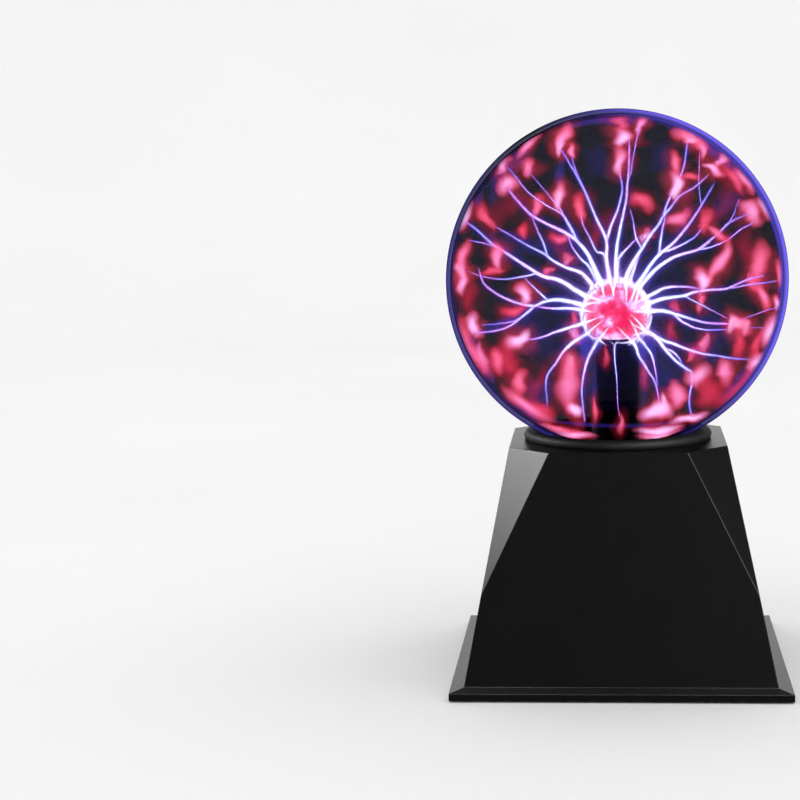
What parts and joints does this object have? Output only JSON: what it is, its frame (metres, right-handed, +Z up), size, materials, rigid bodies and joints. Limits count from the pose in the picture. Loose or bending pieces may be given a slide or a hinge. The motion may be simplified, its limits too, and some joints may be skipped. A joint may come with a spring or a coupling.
{
  "type": "plasma globe lamp",
  "caption": "Clear glass globe with a central glowing electrode and branching discharge, on a black faceted pyramid housing with a square foot flange and a rear rocker switch.",
  "frame": {"origin": "centre of the footprint, on the plane that the four feet stand on", "axes": "+Z up along the globe's axis, -Y towards the front, +Y towards the rear face with the switch and the inlet"},
  "size_m": [0.2, 0.2, 0.329],
  "materials": {
    "moulded_black_abs": "fine-grained satin black moulding",
    "cover_black_abs": "matt black moulding",
    "blackened_steel": "blackened steel",
    "foot_rubber": "matt black rubber",
    "blank_label": "silver-grey blank label",
    "collar_vinyl": "satin black soft vinyl",
    "tinted_globe_glass": "clear glass with a faint violet tint",
    "stem_glass": "clear glass",
    "electrode_coating": "conductive coat, glowing pink-red when lit",
    "sleeve_black_plastic": "black corrugated insulation",
    "red_silicone": "red-brown silicone",
    "brass_rod": "drawn brass",
    "grey_foam": "dark grey closed-cell foam",
    "zinc_screws": "zinc-plated steel",
    "board_laminate": "green solder mask on laminate",
    "ferrite": "dark grey ferrite",
    "varnished_winding": "potted enamelled wire",
    "zinc_strap": "zinc-plated strap",
    "heat_sink_aluminium": "plain extruded aluminium",
    "transistor_package": "black epoxy package with a tinned tab",
    "capacitor_sleeve": "dark blue shrink sleeve",
    "film_capacitor_resin": "red dipped resin",
    "ceramic_disc": "ochre dipped ceramic",
    "resistor_body": "tan lacquered body",
    "chip_epoxy": "black epoxy",
    "trimmer_blue": "blue moulding",
    "header_nylon": "natural nylon",
    "switch_black_plastic": "black moulding",
    "rocker_black_plastic": "black moulding",
    "tinned_brass": "tinned brass",
    "lead_red_pvc": "red soft insulation",
    "inlet_black_plastic": "black moulding",
    "nickel_pin": "nickel-plated pin",
    "lead_black_pvc": "black soft insulation",
    "capsule_aluminium": "drawn aluminium can",
    "lead_white_pvc": "white soft insulation"
  },
  "bodies": {
    "lamp": {"housing": "moulded_black_abs", "bottom_cover": "cover_black_abs", "cover_screws": "blackened_steel", "rubber_feet": "foot_rubber", "rating_label": "blank_label", "collar_ring": "collar_vinyl", "globe": "tinted_globe_glass", "stem_and_bulb": "stem_glass", "exhaust_tip": "stem_glass", "electrode_lining": "electrode_coating", "stem_sleeve": "sleeve_black_plastic", "lead_bushing": "red_silicone", "lead_rod": "brass_rod", "lead_boot": "red_silicone", "neck_foam": "grey_foam", "clamp_ring": "cover_black_abs", "clamp_screws": "zinc_screws", "circuit_board": "board_laminate", "board_screws": "zinc_screws", "transformer_core": "ferrite", "transformer_winding": "varnished_winding", "winding_clamp": "zinc_strap", "high_voltage_lead": "red_silicone", "heat_sink": "heat_sink_aluminium", "power_transistor": "transistor_package", "transistor_screw": "zinc_screws", "electrolytic_capacitors": "capacitor_sleeve", "film_capacitors": "film_capacitor_resin", "ceramic_capacitors": "ceramic_disc", "resistors": "resistor_body", "driver_chips": "chip_epoxy", "gain_trimmer": "trimmer_blue", "lead_headers": "header_nylon", "switch_body": "switch_black_plastic", "switch_terminals": "tinned_brass", "switch_leads": "lead_red_pvc", "inlet_body": "inlet_black_plastic", "inlet_pin": "nickel_pin", "inlet_nut": "nickel_pin", "inlet_terminals": "tinned_brass", "inlet_leads": "lead_black_pvc", "mic_capsule": "capsule_aluminium", "mic_grommet": "foot_rubber", "mic_leads": "lead_white_pvc"},
    "rocker": {"switch_rocker": "rocker_black_plastic"}
  },
  "joints": [
    {"name": "rocker_tilt", "type": "hinge", "parent": "lamp", "child": "rocker", "pos_m": [0.024, 0.08139, 0.03171], "axis": [-1, 0, 0], "range_deg": [0, 22]}
  ]
}
